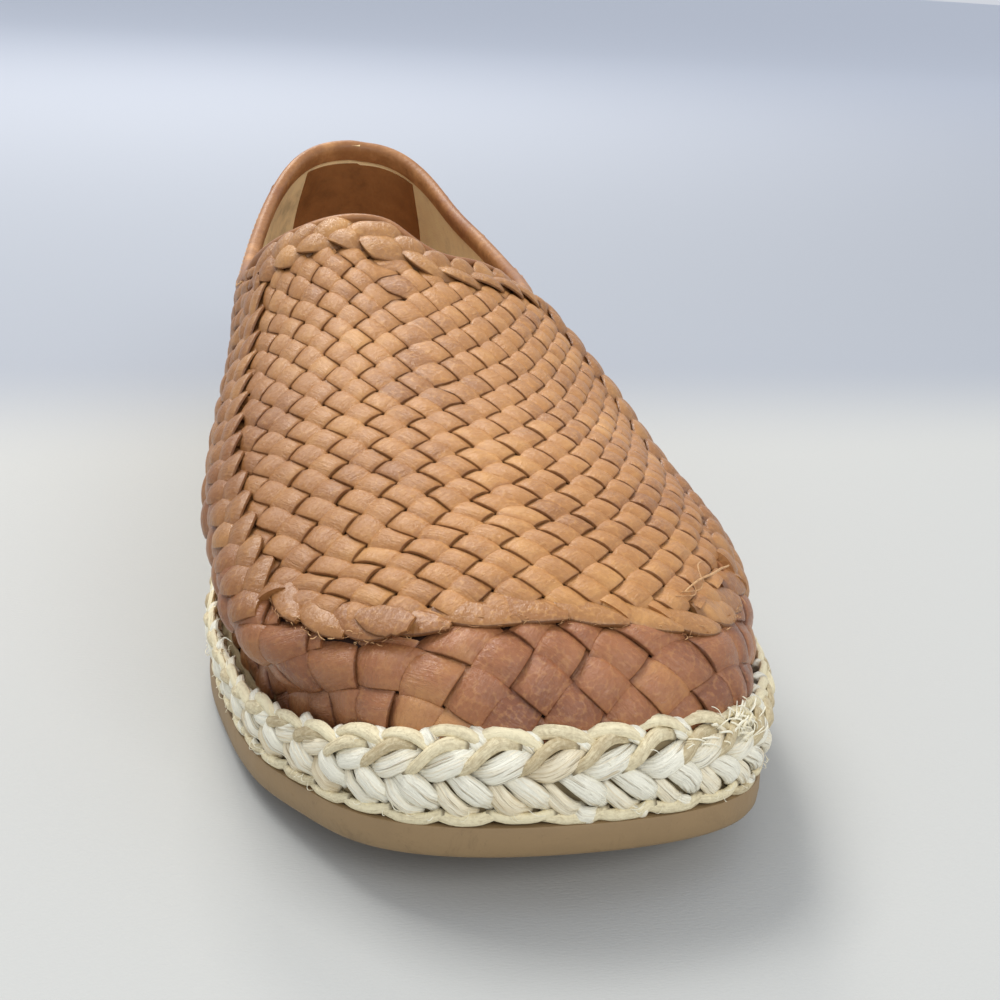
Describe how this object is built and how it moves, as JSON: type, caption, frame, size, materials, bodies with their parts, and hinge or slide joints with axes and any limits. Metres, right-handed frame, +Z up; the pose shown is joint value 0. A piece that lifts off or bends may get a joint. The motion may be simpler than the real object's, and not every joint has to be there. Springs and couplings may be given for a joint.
{
  "type": "espadrille loafer",
  "caption": "Left slip-on espadrille loafer with a woven leather upper, a plaited raffia band round the sole and a thin rubber outsole.",
  "frame": {"origin": "middle of the overall length and width, on the ground plane under the sole", "axes": "+X towards the lateral (outer) side of this left shoe, -Y towards the toe, +Z up"},
  "size_m": [0.1008, 0.2684, 0.08],
  "materials": {
    "outsole": "satin tan gum rubber",
    "braided_foxing": "plaited off-white raffia and cord",
    "upper": "woven tan leather strips, lightly polished",
    "footbed": "matt brown leather"
  },
  "bodies": {
    "root": {"outsole": "outsole", "braided_foxing": "braided_foxing", "upper": "upper", "footbed": "footbed"}
  },
  "joints": []
}
